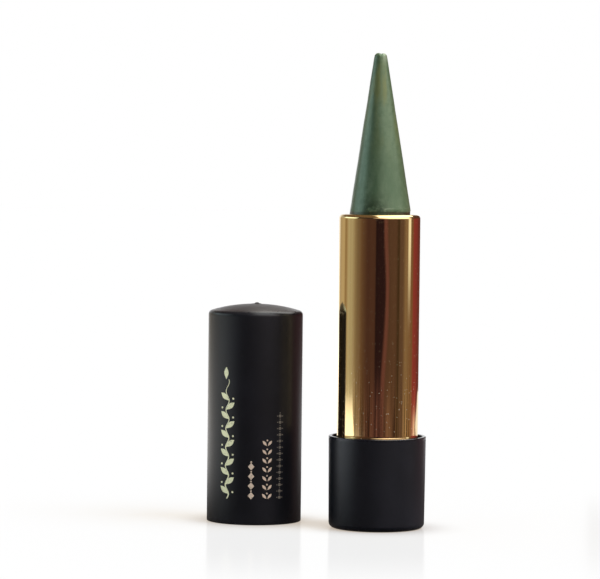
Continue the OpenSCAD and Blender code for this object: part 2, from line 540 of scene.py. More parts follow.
@dataclass(frozen=True)
class PlainMoulding:
    """Natural plastic of the inner pieces, with a faint flow pattern and a satin skin."""

    name: str
    colour: Colour
    roughness: float = 0.4
    rougher: Span = (-0.05, 0.08)
    darker: float = 0.9
    flow: Grain = Grain(0.5, 3, 0.35, 0.7)
    skin: Grain = Grain(4, 2, 0.3, 0.7)

    def material(self) -> bpy.types.Material:
        """Builds the material.

        Returns:
            The material.
        """
        material, tree = new_material(self.name)
        where = tree.place()
        flow = tree.grain(tree.place(stretch=(1, 1, 0.3)), self.flow)
        return surface("moulding", tree, material, {
            "Base Color": tree.mix(flow, self.colour, scaled(self.colour, self.darker)),
            "Roughness": tree.grain(where, self.skin, *(self.roughness + more for more in self.rougher)),
            "Normal": tree.bump(tree.noise(where, 8), 0.1, 0.02),
        })


@dataclass(frozen=True)
class BlankLabel:
    """Blank satin label film with a cut edge and fine fibres."""

    radius: float
    name: str = "blank_label"
    colour: Colour = (0.56, 0.56, 0.545)
    cut: Colour = (0.34, 0.34, 0.33)
    darker: float = 0.94
    roughness: Span = (0.34, 0.46)

    def material(self) -> bpy.types.Material:
        """Builds the material.

        Returns:
            The material.
        """
        material, tree = new_material(self.name)
        fibres = tree.noise(tree.place(stretch=(1, 6, 1)), 2, 3)
        edge = tree.spread(tree.length(tree.place()), self.radius - 0.18, self.radius - 0.05)
        tone = tree.mix(tree.spread(fibres, 0.4, 0.7), self.colour, scaled(self.colour, self.darker))
        return surface("label", tree, material, {
            "Base Color": tree.mix(edge, tone, self.cut),
            "Roughness": tree.spread(fibres, 0.3, 0.7, *self.roughness),
            "Normal": tree.bump(fibres, 0.1, 0.01),
        })


# Turned pieces


class Outline:
    """The half section of a turned piece, drawn from point to point, in millimetres."""

    def __init__(self, radius: float, height: float) -> None:
        """Puts the pen down.

        Args:
            radius: Radius of the first point.
            height: Height of the first point.
        """
        self.mesh = bmesh.new()
        self.start = self.pen = self.mesh.verts.new((radius, 0, height))

    def line(self, radius: float, height: float, steps: int = 1, hold: float = 0.0) -> "Outline":
        """Draws a straight line.

        Args:
            radius: Radius of the line's end.
            height: Height of the line's end.
            steps: Number of equal pieces that the line gets.
            hold: Distance from each end at which an extra point keeps a rounding's shading short.

        Returns:
            The outline.
        """
        begin, end = self.pen.co.copy(), Vector((radius, 0, height))
        shares = [step / steps for step in range(1, steps + 1)]
        if hold:
            share = hold / (end - begin).length
            shares = sorted({share, *shares, 1 - share})
        for share in shares:
            self.pen = bmesh.ops.extrude_vert_indiv(self.mesh, verts=[self.pen])["verts"][0]
            self.pen.co = begin.lerp(end, share)
        return self

    def arc(self, radius: float, height: float, degrees: float, steps: int = 5) -> "Outline":
        """Draws an arc, counter-clockwise with the radius to the right and the height upwards.

        Args:
            radius: Radius of the arc's centre.
            height: Height of the arc's centre.
            degrees: How far the arc turns, negative for clockwise.
            steps: Number of straight pieces.

        Returns:
            The outline.
        """
        swept = bmesh.ops.spin(
            self.mesh, geom=[self.pen], cent=(radius, 0, height), axis=(0, -1, 0), dvec=(0, 0, 0),
            angle=math.radians(degrees), steps=steps, use_merge=False,
        )
        self.pen = next(item for item in swept["geom_last"] if isinstance(item, bmesh.types.BMVert))
        return self

    def close(self) -> "Outline":
        """Joins the pen to the first point."""
        self.mesh.edges.new((self.pen, self.start))
        return self

    def turn(self, segments: int) -> bmesh.types.BMesh:
        """Spins the outline round the Z axis into a closed piece.

        Args:
            segments: Number of steps in the full turn.

        Returns:
            The mesh, with its faces outwards.
        """
        bmesh.ops.spin(
            self.mesh, geom=self.mesh.verts[:] + self.mesh.edges[:], cent=(0, 0, 0), axis=(0, 0, 1),
            dvec=(0, 0, 0), angle=math.tau, steps=segments, use_merge=True,
        )
        bmesh.ops.remove_doubles(self.mesh, verts=self.mesh.verts, dist=WELD)
        bmesh.ops.recalc_face_normals(self.mesh, faces=self.mesh.faces)
        return self.mesh


def finish_piece(
    mesh: bmesh.types.BMesh, name: str, material: bpy.types.Material,
    axis: Vector = Vector(), sharp: float = 32.0,
) -> bpy.types.Object:
    """Makes an object of a mesh drawn in millimetres round the origin.

    Args:
        mesh: The mesh. It is freed.
        name: The object's name.
        material: Its finish.
        axis: Where the mesh's Z axis stands, in millimetres.
        sharp: Edges with a turn of more than this many degrees stay sharp.

    Returns:
        The object, which sits at the origin with its place in its mesh.
    """
    bmesh.ops.translate(mesh, vec=axis, verts=mesh.verts)
    bmesh.ops.scale(mesh, vec=(MM, MM, MM), verts=mesh.verts)
    data = bpy.data.meshes.new(name)
    mesh.to_mesh(data)
    mesh.free()
    data.shade_smooth()
    data.set_sharp_from_angle(angle=math.radians(sharp))
    data.materials.append(material)
    piece = bpy.data.objects.new(name, data)
    bpy.context.scene.collection.objects.link(piece)
    return piece


def push(mesh: bmesh.types.BMesh, shift: Callable[[Vector], Vector]) -> None:
    """Moves each vertex by what a function says of its place.

    Args:
        mesh: The mesh.
        shift: Gives a vertex's new place from its old one.
    """
    for vertex in mesh.verts:
        vertex.co = shift(vertex.co)


@dataclass
class BaseShell:
    """The black outer shell of the grip, with a well round the gold tube."""

    size: NodeSize = field(default_factory=lambda: NodeSize.of("base"))
    skirt: NodeSize = field(default_factory=lambda: NodeSize.of("inner_body"))
    skirt_gap: float = 0.02
    taper: float = 0.12
    foot_round: float = 0.85
    rim_round: float = 0.12
    label_gap: float = 0.005
    foot_rub: float = 0.3
    # Painted reflection: the base's black plastic reflects more strongly and bluer than the cap's same
    # moulding, for how light fell on the base.
    sheen: Colour = (0.77, 0.86, 1.0)
    ior: float = 1.65
    segments: int = 192

    def outline(self) -> Outline:
        """Draws the shell's half section.

        Returns:
            The outline.
        """
        label = NodeSize.of("shade_label")
        rim_r, top = self.size.radius, self.size.high.z
        foot_r = rim_r - self.taper
        well_r = self.skirt.radius + self.skirt_gap
        edge = self.rim_round
        pocket_r, pocket_z = label.radius + self.label_gap, label.high.z + self.label_gap
        drawn = Outline(0, pocket_z).line(pocket_r, pocket_z).line(pocket_r, 0)
        drawn.line(foot_r - self.foot_round, 0, hold=0.1)
        drawn.arc(foot_r - self.foot_round, self.foot_round, QUARTER, 10)
        drawn.line(rim_r, top - edge, steps=4, hold=0.05)
        drawn.arc(rim_r - edge, top - edge, QUARTER, 4)
        drawn.line(well_r + edge, top, hold=0.03)
        drawn.arc(well_r + edge, top - edge, QUARTER, 4)
        drawn.line(well_r, self.skirt.low.z, hold=0.05).line(0, self.skirt.low.z)
        return drawn

    def build(self) -> list[bpy.types.Object]:
        """Builds the shell.

        Returns:
            The piece.
        """
        top = self.size.high.z
        finish = SoftBlackMoulding(
            "soft_black_base", (self.foot_rub, top), polished=top, sheen=self.sheen, ior=self.ior,
        )
        piece = finish_piece(self.outline().turn(self.segments), "base_shell", finish.material())
        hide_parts("base")
        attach(piece, "grip")
        return [piece]


@dataclass
class GoldShell:
    """The drawn gold tube with its rolled-in lip."""

    size: NodeSize = field(default_factory=lambda: NodeSize.of("gold_tube"))
    wall: float = 0.33
    lip_t: float = 0.45
    lip_gap: float = 0.1
    mouth_round: float = 0.62
    mouth_worn: float = 0.2
    lip_round: float = 0.15
    ring: float = 0.035
    ring_shape: tuple[Span, ...] = ((0, -0.4), (1, -0.15), (1, 0.02), (0.5, 0.08), (0.17, 0.16), (0, 0.29))
    segments: int = 256

    def outline(self) -> Outline:
        """Draws the tube's half section.

        Returns:
            The outline.
        """
        outer, inner = self.size.radius, self.size.radius - self.wall
        low, mouth = self.size.low.z, self.size.high.z - self.mouth_worn
        lip_r = NodeSize.of("kohl_cone").radius + self.lip_gap
        rim = NodeSize.of("base").high.z
        drawn = Outline(inner, low).line(outer, low)
        for share, rise in self.ring_shape:
            drawn.line(outer + self.ring * share, rim + rise)
        drawn.line(outer, mouth - self.mouth_round, steps=4, hold=0.06)
        drawn.arc(outer - self.mouth_round, mouth - self.mouth_round, QUARTER, 12)
        drawn.line(lip_r + self.lip_round, mouth, hold=0.04)
        drawn.arc(lip_r + self.lip_round, mouth - self.lip_round, QUARTER, 6)
        drawn.line(lip_r, mouth - self.lip_t).line(inner, mouth - self.lip_t)
        return drawn.close()

    def build(self) -> list[bpy.types.Object]:
        """Builds the tube.

        Returns:
            The piece.
        """
        piece = finish_piece(self.outline().turn(self.segments), "gold_shell", MirrorGold().material())
        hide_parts("gold_tube")
        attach(piece, "shell")
        return [piece]


@dataclass
class KohlStick:
    """The kohl: a cone with a worn blunt tip and an uneven foot, on a plain shank."""

    size: NodeSize = field(default_factory=lambda: NodeSize.of("kohl_cone"))
    mouth: float = field(default_factory=lambda: NodeSize.of("gold_tube").high.z)
    cup_top: float = field(default_factory=lambda: NodeSize.of("cup").high.z)
    shank_step: float = 0.09
    tip_r: float = 0.825
    tip_round: float = 0.55
    lean: float = 0.25
    aside: float = 0.08
    swell: float = 0.09
    foot_share: float = 0.02
    waviness: float = 0.035
    worn_share: float = 0.07
    chip: float = 0.06
    blunted: float = 0.09
    groove: float = 0.11
    groove_place: float = 0.08
    groove_width: float = 0.17
    segments: int = 160
    rings: int = 90

    def outline(self) -> Outline:
        """Draws the kohl's half section.

        Returns:
            The outline.
        """
        foot_r, low, tip = self.size.radius, self.size.low.z, self.size.high.z
        shank_r = foot_r - self.shank_step
        slope = math.atan((foot_r - self.tip_r) / (tip - self.mouth))
        round_r = self.tip_r - self.tip_round * math.tan((math.pi / 2 - slope) / 2)
        centre_z = tip - self.tip_round
        start_r = round_r + self.tip_round * math.cos(slope)
        start_z = centre_z + self.tip_round * math.sin(slope)
        drawn = Outline(0, low).line(shank_r, low).line(shank_r, self.cup_top).line(foot_r, self.cup_top)
        drawn.line(foot_r, self.mouth - 0.05)
        drawn.line(start_r, start_z, steps=self.rings)
        drawn.arc(round_r, centre_z, QUARTER - math.degrees(slope), 8)
        drawn.line(0, tip, steps=3)
        return drawn

    def worn(self, place: Vector) -> Vector:
        """Moves a point of the cone as casting, use and handling do.

        Args:
            place: A point of the clean cone.

        Returns:
            Where it lies on the worn one.
        """
        if place.z <= self.mouth:
            return place
        share = (place.z - self.mouth) / (self.size.high.z - self.mouth)
        out = Vector((place.x, place.y, 0))
        inward = noise.noise(Vector((place.x * 0.5, place.y * 0.5, place.z * 0.22))) + 0.4
        inward += 0.4 * noise.noise(place * 1.3)
        above_foot = min(1.0, share / self.foot_share)
        swell = above_foot * self.swell - self.waviness * max(0.0, inward)
        moved = place + out.normalized() * swell if out.length > 0.05 else place.copy()
        near_tip = max(0.0, share - 1 + self.worn_share) / self.worn_share
        chip = self.chip * (0.5 + 0.5 * noise.noise(place * 1.7 + Vector((4, 1, 0))))
        blunted = self.blunted * (out.length / self.tip_r) ** 2
        groove = self.groove * math.exp(-((place.x - self.groove_place) / self.groove_width) ** 2)
        moved.z -= near_tip ** 2 * (chip + blunted + groove)
        moved.x += self.aside * above_foot - self.lean * share
        return moved

    def build(self) -> list[bpy.types.Object]:
        """Builds the kohl.

        Returns:
            The piece.
        """
        mesh = self.outline().turn(self.segments)
        push(mesh, self.worn)
        finish = WaxyKohl(foot=self.mouth, tip=self.size.high.z)
        piece = finish_piece(mesh, "kohl_stick", finish.material(), sharp=50)
        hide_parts("kohl_cone")
        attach(piece, "carrier")
        return [piece]


@dataclass
class CapShell:
    """The cap: straight skirt, low dome with the moulding gate's nub, and a stepped bore."""

    size: NodeSize = field(default_factory=lambda: NodeSize.of("cap"))
    tube_r: float = field(default_factory=lambda: NodeSize.of("gold_tube").radius)
    gap: float = 0.05
    relief: float = 0.3
    band_h: float = 6.0
    lead_in: float = 0.35
    roof: float = 1.15
    dome_h: float = 1.05
    shoulder_round: float = 0.7
    edge: float = 0.12
    mouth_rub: float = 0.1
    nub_d: float = 0.75
    nub_h: float = 0.25
    nub_aside: float = 0.18
    nub_raised: float = 0.06
    nub_gap: float = 0.06
    nub_step: float = 0.03
    nub_top: tuple[Span, ...] = ((0.85, 0.07), (0.45, 0), (0, 0.05))
    nub_tear: float = 0.09
    nub_torn_h: float = 0.12
    segments: int = 192

    def outline(self) -> Outline:
        """Draws the cap's half section.

        Returns:
            The outline.
        """
        outer, band = self.size.radius, self.tube_r + self.gap
        relief, nub_r = band + self.relief, self.nub_d / 2
        dome_top = self.size.high.z - self.nub_h
        half = outer - self.shoulder_round / 2
        dome_r = (half ** 2 + self.dome_h ** 2) / (2 * self.dome_h)
        centre = dome_top - dome_r
        edge_angle = math.degrees(math.acos((outer - self.shoulder_round) / dome_r))
        shoulder = centre + (dome_r - self.shoulder_round) * math.sin(math.radians(edge_angle))
        nub_angle = math.degrees(math.acos((nub_r + self.nub_gap) / dome_r))
        roof_angle = math.degrees(math.acos(relief / dome_r))
        step_z = self.band_h + self.lead_in
        drawn = Outline(band + self.lead_in, 0).line(outer - self.edge, 0, hold=0.03)
        drawn.arc(outer - self.edge, self.edge, QUARTER, 4)
        drawn.line(outer, shoulder, steps=8, hold=0.05)
        drawn.arc(outer - self.shoulder_round, shoulder, edge_angle, 8)
        drawn.arc(0, centre, nub_angle - edge_angle, 24)
        drawn.line(nub_r, drawn.pen.co.z + self.nub_step)
        for share, below in self.nub_top:
            drawn.line(nub_r * share, self.size.high.z - below)
        drawn.line(0, dome_top - self.roof)
        drawn.arc(0, centre - self.roof, roof_angle - QUARTER, 12)
        drawn.line(relief, step_z + self.relief).line(band, step_z).line(band, self.lead_in)
        return drawn.close()

    def nub_torn(self, place: Vector) -> Vector:
        """Makes the nub's top uneven, as a gate breaks off.

        Args:
            place: A point of the cap.

        Returns:
            Where it lies on the real cap.
        """
        if place.z < self.size.high.z - self.nub_h - 0.01 or place.xy.length > self.nub_d:
            return place
        torn = 0.0
        if place.z > self.size.high.z - self.nub_torn_h:
            torn = self.nub_tear * (0.5 + noise.noise(place * 3.1))
        return place + Vector((self.nub_aside, 0, self.nub_raised - torn))

    def build(self) -> list[bpy.types.Object]:
        """Builds the cap.

        Returns:
            The piece.
        """
        mesh = self.outline().turn(self.segments)
        push(mesh, self.nub_torn)
        shoulder = self.size.high.z - self.dome_h - self.nub_h
        finish = SoftBlackMoulding("soft_black_cap", (self.mouth_rub, shoulder))
        piece = finish_piece(mesh, "cap_shell", finish.material(), self.size.axis)
        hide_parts("cap")
        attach(piece, "cap_unit")
        return [piece]


# Foil ornament


class Motif(Enum):
    """The small shapes that the foil rows repeat."""

    LEAF = "leaf"
    LOZENGE = "lozenge"
    DOT = "dot"


@dataclass(frozen=True)
class Stamp:
    """One stamped shape on the cap, laid out flat: u runs round the cap and v up it, in millimetres."""

    motif: Motif
    u: float
    v: float
    length: float
    width: float
    lean: float = 0.0
    leaf_skew: float = 1.15

    def add_to(self, mesh: bmesh.types.BMesh) -> None:
        """Adds the shape to a flat mesh.

        Args:
            mesh: The mesh, in the XY plane.
        """
        if self.motif is Motif.DOT:
            made = bmesh.ops.create_circle(mesh, cap_ends=True, segments=14, radius=self.width / 2)["verts"]
        else:
            made = bmesh.ops.create_grid(mesh, x_segments=2, y_segments=10, size=1)["verts"]
            for vertex in made:
                share = (vertex.co.y + 1) / 2
                full = 1 - abs(vertex.co.y)
                if self.motif is Motif.LEAF:
                    full = math.sin(math.pi * share ** self.leaf_skew)
                vertex.co.x *= self.width / 2 * max(full, 0.0)
                vertex.co.y *= self.length / 2
        turned = Matrix.Translation((self.u, self.v, 0)) @ Matrix.Rotation(math.radians(-self.lean), 4, "Z")
        bmesh.ops.transform(mesh, matrix=turned, verts=made)


def dot(u: float, v: float, width: float) -> Stamp:
    """A round stamp."""
    return Stamp(Motif.DOT, u, v, width, width)


@dataclass(frozen=True)
class FoilRow:
    """A row up the cap that repeats a few stamps, whose v counts from the start of each step."""

    name: str
    bearing: float
    tone: FoilTone
    length: float
    pitch: float
    stamps: tuple[Stamp, ...]

    def lay_out(self, low: float) -> bmesh.types.BMesh:
        """Repeats the stamps upwards.

        Args:
            low: Height at which the row starts.

        Returns:
            The flat mesh.
        """
        mesh = bmesh.new()
        for index in range(round(self.length / self.pitch)):
            for stamp in self.stamps:
                replace(stamp, v=low + index * self.pitch + stamp.v).add_to(mesh)
        return mesh


@dataclass
class FoilOrnament:
    """A leaf garland and three plain rows stamped on the cap in foil, generic throughout.

    The berry's u is its distance from the stem, and its v its height over a leaf's foot.
    """

    cap: NodeSize = field(default_factory=lambda: NodeSize.of("cap"))
    low: float = 4.0
    thickness: float = 0.02
    garland_bearing: float = -34.0
    garland_length: float = 20.4
    garland_wave: float = 0.3
    stem_width: float = 0.24
    leaf_length: float = 1.9
    leaf_width: float = 0.82
    leaf_pitch: float = 1.45
    leaf_lean: float = 52.0
    leaf_off: float = 0.06
    first_leaf: float = 0.7
    stem_thins: float = 0.55
    berry: Stamp = dot(0.72, 0.35, 0.32)
    weld: float = 0.002
    sunk: float = 0.25
    rows: tuple[FoilRow, ...] = (
        FoilRow("foil_lozenges", -2.8, FoilTone.WARM, 6.0, 1.5, (
            Stamp(Motif.LOZENGE, 0, 0.6, 1.15, 1.0), dot(0, 1.32, 0.26),
        )),
        FoilRow("foil_sprigs", 16.5, FoilTone.WARM, 9.6, 1.37, (
            Stamp(Motif.LEAF, -0.42, 0.5, 1.05, 0.4, -40), Stamp(Motif.LEAF, 0.42, 0.5, 1.05, 0.4, 40),
            dot(0, 0.95, 0.26),
        )),
        FoilRow("foil_beads", 33.0, FoilTone.DULL, 13.6, 0.97, (
            dot(0, 0.3, 0.5), dot(-0.45, 0.3, 0.2), dot(0.45, 0.3, 0.2), dot(0, 0.78, 0.2),
        )),
    )

    def garland(self) -> bmesh.types.BMesh:
        """Lays out the garland: a waving stem with leaves left and right in turn.

        Returns:
            The flat mesh.
        """
        mesh = bmesh.new()
        stem = bmesh.ops.create_grid(mesh, x_segments=1, y_segments=120, size=1)["verts"]
        for vertex in stem:
            share = (vertex.co.y + 1) / 2
            v = self.low + share * (self.garland_length - self.leaf_length)
            taper = 1 - self.stem_thins * share
            vertex.co = Vector((self.stem_at(v) + vertex.co.x * self.stem_width / 2 * taper, v, 0))
        count = int((self.garland_length - 1.6 * self.leaf_length) / self.leaf_pitch)
        for index in range(count):
            side = 1 if index % 2 else -1
            v = self.low + self.first_leaf + index * self.leaf_pitch
            lean = side * self.leaf_lean
            reach = self.leaf_length / 2 + self.leaf_off
            angle = math.radians(lean)
            Stamp(
                Motif.LEAF, self.stem_at(v) + reach * math.sin(angle), v + reach * math.cos(angle),
                self.leaf_length, self.leaf_width, lean,
            ).add_to(mesh)
            replace(self.berry, u=self.stem_at(v) - side * self.berry.u, v=v + self.berry.v).add_to(mesh)
        top = self.low + self.garland_length - self.leaf_length / 2
        Stamp(Motif.LEAF, self.stem_at(top), top, self.leaf_length, self.leaf_width).add_to(mesh)
        return mesh

    def stem_at(self, v: float) -> float:
        """How far the garland's stem lies to the side at a height."""
        return self.garland_wave * math.sin(math.pi * (v - self.low) / self.leaf_pitch)

    def wrap(self, mesh: bmesh.types.BMesh, name: str, bearing: float, tone: FoilTone) -> bpy.types.Object:
        """Thickens a flat mesh and lays it on the cap.

        Args:
            mesh: The flat mesh.
            name: The piece's name.
            bearing: Where u = 0 lies on the cap.
            tone: The foil's tone.

        Returns:
            The piece.
        """
        bmesh.ops.remove_doubles(mesh, verts=mesh.verts, dist=self.weld)
        bmesh.ops.dissolve_degenerate(mesh, edges=mesh.edges, dist=self.weld / 2)
        bmesh.ops.recalc_face_normals(mesh, faces=mesh.faces)
        for face in mesh.faces:
            if face.normal.z < 0:
                face.normal_flip()
        bmesh.ops.solidify(mesh, geom=mesh.faces, thickness=self.thickness)
        radius = self.cap.radius
        low = min(vertex.co.z for vertex in mesh.verts)

        def on_cap(place: Vector) -> Vector:
            """Rolls a flat point round the cap."""
            height = place.z - low - self.thickness * self.sunk
            return on_bearing(radius + height, bearing + math.degrees(place.x / radius), place.y)

        push(mesh, on_cap)
        bmesh.ops.recalc_face_normals(mesh, faces=mesh.faces)
        piece = finish_piece(mesh, name, StampedFoil(tone).material(), self.cap.axis)
        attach(piece, "cap_unit")
        return piece

    def build(self) -> list[bpy.types.Object]:
        """Builds the garland and the rows.

        Returns:
            The pieces.
        """
        garland = self.wrap(self.garland(), "foil_garland", self.garland_bearing, FoilTone.BRIGHT)
        rows = [self.wrap(row.lay_out(self.low), row.name, row.bearing, row.tone) for row in self.rows]
        return [garland, *rows]


@dataclass
class Mechanism:
    """The CAD nodes that stay as they are and get their own finishes."""

    white: PlainMoulding = PlainMoulding("white_moulding", (0.56, 0.56, 0.54))
    cup_white: PlainMoulding = PlainMoulding("cup_moulding", (0.6, 0.6, 0.575), 0.34)

    def build(self) -> list[bpy.types.Object]:
        """Dresses the nodes.

        Returns:
            The dressed nodes.
        """
        white = self.white.material()
        label = BlankLabel(NodeSize.of("shade_label").radius)
        finishes = {
            "inner_body": white,
            "cam_sleeve": white,
            "cup": self.cup_white.material(),
            "shade_label": label.material(),
        }
        for name, material in finishes.items():
            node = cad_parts[name]
            node.data.materials.clear()
            node.data.materials.append(material)
        return [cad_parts[name] for name in finishes]


# Studio


def only_for_gloss(screen: bpy.types.Object) -> bpy.types.Object:
    """Leaves a studio screen to reflections alone.

    Args:
        screen: The screen.

    Returns:
        The same screen, seen by glossy rays alone.
    """
    screen.visible_camera = screen.visible_diffuse = screen.visible_shadow = False
    screen.visible_transmission = screen.visible_volume_scatter = False
    return screen


def disc(radius: float) -> bmesh.types.BMesh:
    """A flat round face at the origin."""
    mesh = bmesh.new()
    bmesh.ops.create_circle(mesh, cap_ends=True, segments=64, radius=radius)
    return mesh


@dataclass(frozen=True)
class Band:
    """A stretch of the drum in one colour. Where two bands leave a gap, one blends into the other."""

    name: str
    start: float
    end: float
    colour: Colour


@dataclass(frozen=True)
class Patch:
    """A colour laid over the bands: the heights and the bearings, in radians, over which it fades in."""

    heights: Span
    bearings: Span
    colour: Colour

    def over(self, tree: NodeTree, colour: Socket, bearing: Socket, height: Socket) -> Socket:
        """Lays the patch over a colour."""
        mask = tree.times(tree.spread(height, *self.heights), tree.spread(bearing, *self.bearings))
        return tree.mix(mask, colour, self.colour)


@dataclass(frozen=True)
class Drum:
    """The upright surround that only gloss sees: plain screens low down, and windows above them."""

    screens: tuple[Band, ...]
    windows: tuple[Band, ...]
    strip: Band
    steps: int = 96
    radius: float = 300.0
    low: float = -220.0
    high: float = 230.0
    split: float = 78.0
    split_soft: float = 6.0
    window_level: float = 1.85
    strip_heights: Span = (14, 44)
    strip_soft: float = 0.05
    foot_heights: Span = (8, -8)
    front_bearings: Span = (0.5, 0.15)
    low_front: Colour = (0.1, 0.046, 0.047)
    low_front_cover: float = 0.75
    low_left: Patch = Patch((-11, -20), (-0.5, -1.05), (0.9, 1.0, 1.15))
    low_right: Patch = Patch((-3, -10), (1.75, 2.25), (0.6, 0.45, 0.42))
    high_left: Patch = Patch((162, 180), (-1.1, -1.4), (0.06, 0.045, 0.025))
    slant_high: tuple[float, ...] = (42, 28, 0, -0.12)
    slant_low: tuple[float, ...] = (26, -8, 0, 0.28)
    slant_bearings: tuple[Span, Span] = ((0, 0.12), (0.7, 0.4))
    streaks: Grain = Grain(0.75, 3, 0.36, 0.64, 0.6)
    streak_levels: Span = (0.3, 2.1)
    clouds: Grain = Grain(0.12, 2, 0.3, 0.7)
    cloud_levels: Span = (0.85, 1.15)

    @property
    def span(self) -> Span:
        """Bearings of the drum's two ends."""
        return self.screens[0].start, self.screens[-1].end

    def ramp(self, tree: NodeTree, share: Socket, bands: Sequence[Band]) -> Socket:
        """Lays bands out along the drum.

        Args:
            tree: The material's tree.
            share: Zero at the drum's start and one at its end.
            bands: The bands, in order.

        Returns:
            The colour.
        """
        node = tree.add("ValToRGB", {0: share})
        start, end = self.span
        stops = [(edge, band.colour) for band in bands for edge in (band.start, band.end)]
        elements = node.color_ramp.elements
        while len(elements) < len(stops):
            elements.new(0.5)
        for element, (edge, colour) in zip(elements, stops):
            element.position = (edge - start) / (end - start)
            element.color = (*colour, 1)
        return node.outputs[0]

    def share(self, tree: NodeTree, bearing: Socket, height: Socket) -> Socket:
        """How far round the drum a point lies, a little aslant right of the front.

        Args:
            tree: The material's tree.
            bearing: Bearing, in radians.
            height: Height.

        Returns:
            Zero at the drum's start and one at its end.
        """
        start, end = self.span
        slant = tree.math("ADD", tree.spread(height, *self.slant_high), tree.spread(height, *self.slant_low))
        near, far = self.slant_bearings
        slant = tree.times(slant, tree.spread(bearing, *near))
        slanted = tree.math("ADD", bearing, tree.times(slant, tree.spread(bearing, *far)))
        return tree.add("MapRange", {0: slanted, 1: math.radians(start), 2: math.radians(end)}).outputs[0]

    def screen_level(self, tree: NodeTree, share: Socket, height: Socket) -> Socket:
        """How bright the screens are: faint clouds, and fine streaks below the stick's foot.

        Args:
            tree: The material's tree.
            share: How far round the drum.
            height: Height.

        Returns:
            The level.
        """
        across = tree.add("CombineXYZ", {0: tree.times(share, 100.0), 1: tree.times(height, 0.02)}).outputs[0]
        streaks = tree.grain(across, self.streaks, *self.streak_levels)
        clouds = tree.grain(across, self.clouds, *self.cloud_levels)
        return tree.blend(tree.spread(height, *self.foot_heights), clouds, streaks)

    def screen_colour(self, tree: NodeTree, share: Socket, bearing: Socket, height: Socket) -> Socket:
        """The screens' bands, with the bright strip and the patches near the floor laid over them.

        Args:
            tree: The material's tree.
            share: How far round the drum.
            bearing: Bearing, in radians.
            height: Height.

        Returns:
            The colour.
        """
        ahead = tree.spread(tree.math("ABSOLUTE", bearing), *self.front_bearings)
        low = tree.times(ahead, tree.spread(height, *self.foot_heights, 0, self.low_front_cover))
        colour = tree.mix(low, self.ramp(tree, share, self.screens), self.low_front)
        middle = math.radians((self.strip.start + self.strip.end) / 2)
        half = math.radians(self.strip.end - self.strip.start) / 2
        strip = tree.times(
            tree.spread(tree.gap(bearing, middle), half + self.strip_soft, half - self.strip_soft),
            tree.spread(height, *self.strip_heights),
        )
        colour = tree.mix(strip, colour, self.strip.colour)
        for patch in (self.low_left, self.low_right):
            colour = patch.over(tree, colour, bearing, height)
        return colour

    def glow(self) -> bpy.types.Material:
        """Builds the drum's glow.

        Returns:
            The material.
        """
        material, tree = new_material("drum")
        x, y, height = tree.axes(tree.place())
        bearing = tree.math("ARCTAN2", x, tree.times(y, -1.0))
        share = self.share(tree, bearing, height)
        upper = tree.spread(height, self.split - self.split_soft, self.split + self.split_soft)
        windows = self.high_left.over(tree, self.ramp(tree, share, self.windows), bearing, height)
        glow = tree.add("Emission", {
            "Color": tree.mix(upper, self.screen_colour(tree, share, bearing, height), windows),
            "Strength": tree.blend(upper, self.screen_level(tree, share, height), self.window_level),
        })
        tree.end("OutputMaterial", glow.outputs[0])
        return material

    def build(self) -> bpy.types.Object:
        """Stands the drum round the set.

        Returns:
            The drum.
        """
        start, end = self.span
        mesh = bmesh.new()
        foot = mesh.verts.new(on_bearing(self.radius, start, self.low))
        head = mesh.verts.new(on_bearing(self.radius, start, self.high))
        edge = mesh.edges.new((foot, head))
        bmesh.ops.spin(
            mesh, geom=[foot, head, edge], cent=(0, 0, 0), axis=(0, 0, 1), dvec=(0, 0, 0),
            angle=math.radians(end - start), steps=self.steps, use_merge=False,
        )
        return only_for_gloss(finish_piece(mesh, "drum", self.glow()))


@dataclass(frozen=True)
class Lid:
    """A flat screen over or under the set that only gloss sees: dark on the left, lit on the right."""

    name: str
    height: float
    radius: float
    dark: Colour
    light: Colour
    split: float
    soft: float = 45.0

    def build(self) -> bpy.types.Object:
        """Lays the screen.

        Returns:
            The screen.
        """
        material, tree = new_material(self.name)
        lit = tree.spread(tree.axes(tree.place())[0], self.split, self.split + self.soft)
        glow = tree.add("Emission", {"Color": tree.mix(lit, self.dark, self.light), "Strength": 1.0})
        tree.end("OutputMaterial", glow.outputs[0])
        screen = finish_piece(disc(self.radius), self.name, material, Vector((0, 0, self.height)))
        return only_for_gloss(screen)


@dataclass(frozen=True)
class Lamp:
    """A far soft light."""

    name: str
    bearing: float
    elevation: float
    strength: float
    softness: float
    colour: Colour

    def build(self) -> bpy.types.Object:
        """Hangs the light.

        Returns:
            The light.
        """
        data = bpy.data.lights.new(self.name, "SUN")
        data.energy, data.angle, data.color = self.strength, math.radians(self.softness), self.colour
        lamp = bpy.data.objects.new(self.name, data)
        lamp.rotation_euler = Euler((math.radians(90 - self.elevation), 0, math.radians(self.bearing)))
        lamp.visible_glossy = False
        bpy.context.scene.collection.objects.link(lamp)
        return lamp


